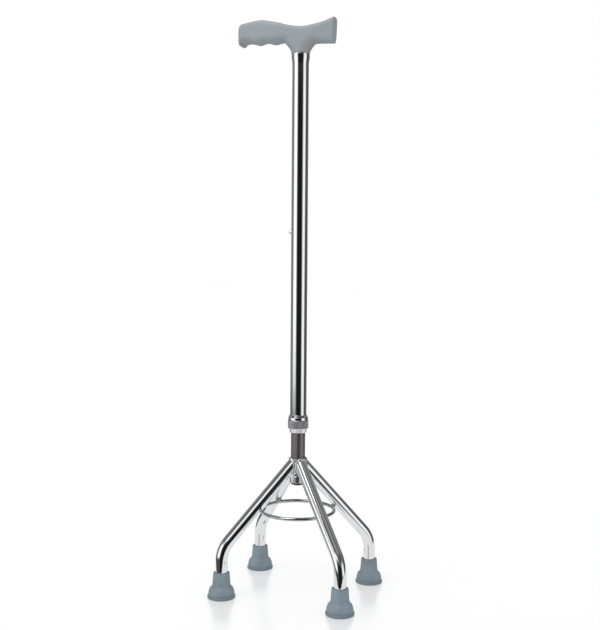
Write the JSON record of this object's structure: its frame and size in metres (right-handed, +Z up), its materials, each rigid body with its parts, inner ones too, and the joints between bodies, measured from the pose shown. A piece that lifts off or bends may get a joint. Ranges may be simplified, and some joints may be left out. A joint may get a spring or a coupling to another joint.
{
  "type": "quad walking cane",
  "caption": "Height-adjustable walking cane with a moulded derby grip, a telescopic tube shaft with snap button and lock nut, and a four-legged base with rubber tips.",
  "frame": {"origin": "on the floor, on the axis of the shaft, at the centre of the four feet", "axes": "+Z up along the shaft, +X towards the nose of the grip, which points forwards in use, +Y to the user's left"},
  "size_m": [0.202, 0.1674, 0.7669],
  "materials": {
    "grip_plastic": "satin moulded",
    "chrome": "bright plated",
    "knurled_chrome": "bright plated, knurled band",
    "nylon": "natural moulded",
    "spring_steel": "rolled strip",
    "satin_steel": "satin, drawn lengthwise",
    "black_plastic": "matte moulded",
    "tip_rubber": "matte moulded"
  },
  "bodies": {
    "base": {"lower_tube": "satin_steel", "hub_sleeve": "chrome", "hub_rivet": "chrome", "hub_end_plug": "black_plastic", "brace_ring": "chrome", "button_spring": "spring_steel", "leg_front_left": "chrome", "leg_front_right": "chrome", "leg_rear_left": "chrome", "leg_rear_right": "chrome", "tip_front_left": "tip_rubber", "tip_front_right": "tip_rubber", "tip_rear_left": "tip_rubber", "tip_rear_right": "tip_rubber", "washer_front_left": "spring_steel", "washer_front_right": "spring_steel", "washer_rear_left": "spring_steel", "washer_rear_right": "spring_steel"},
    "upper": {"upper_tube": "chrome", "handle_grip": "grip_plastic", "handle_screw": "chrome", "threaded_ferrule": "chrome"},
    "collet": {"collet_bush": "nylon"},
    "nut": {"lock_nut": "knurled_chrome"},
    "button": {"snap_button": "chrome"}
  },
  "joints": [
    {"name": "height_adjust", "type": "slide", "parent": "base", "child": "upper", "axis": [0, 0, 1], "range_m": [0, 0.1524]},
    {"name": "snap_button_press", "type": "slide", "parent": "base", "child": "button", "axis": [1, 0, 0], "range_m": [0, 0.0045], "stiffness_N_per_m": 2000, "springref_m": -0.002, "deforming": ["button_spring"]},
    {"name": "nut_shift", "type": "slide", "parent": "upper", "child": "collet", "axis": [0, 0, -1], "range_m": [0, 0.0015]},
    {"name": "lock_nut_turn", "type": "hinge", "parent": "collet", "child": "nut", "pos_m": [0, 0, 0.223], "axis": [0, 0, -1], "range_deg": [0, 360]}
  ],
  "couplings": [
    {"joint": "lock_nut_turn", "follows": "nut_shift", "rad_per_m": 4188.8}
  ]
}
